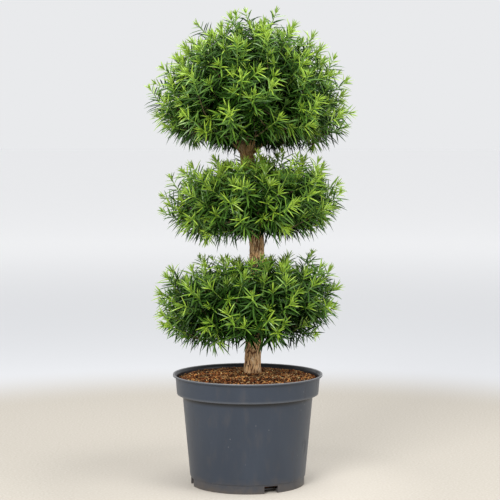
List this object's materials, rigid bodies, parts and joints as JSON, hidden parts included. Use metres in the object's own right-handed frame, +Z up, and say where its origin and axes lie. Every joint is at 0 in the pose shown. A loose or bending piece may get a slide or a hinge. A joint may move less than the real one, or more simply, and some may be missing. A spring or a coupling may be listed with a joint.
{
  "type": "potted yew pompon topiary",
  "caption": "Clipped yew with tiered round cushions of needles on one bare stem, growing in a tapered dark grey nursery pot with a banded rim and drain notches.",
  "frame": {"origin": "middle of the pot's flat underside", "axes": "+Z up along the pot's axis, -Y towards the side that the picture shows, +X to its right"},
  "size_m": [0.3451, 0.343, 0.8156],
  "materials": {
    "pot_plastic": "satin",
    "compost": "matte",
    "bark": "matte",
    "needles": "satin"
  },
  "bodies": {
    "root": {"pot": "pot_plastic", "compost": "compost", "trunk": "bark", "bough_lower_1": "bark", "bough_lower_2": "bark", "bough_lower_3": "bark", "bough_lower_4": "bark", "bough_lower_5": "bark", "bough_middle_1": "bark", "bough_middle_2": "bark", "bough_middle_3": "bark", "bough_middle_4": "bark", "bough_middle_5": "bark", "bough_top_1": "bark", "bough_top_2": "bark", "bough_top_3": "bark", "bough_top_4": "bark", "bough_top_5": "bark", "pompon_lower": "needles", "pompon_middle": "needles", "pompon_top": "needles"}
  },
  "joints": []
}
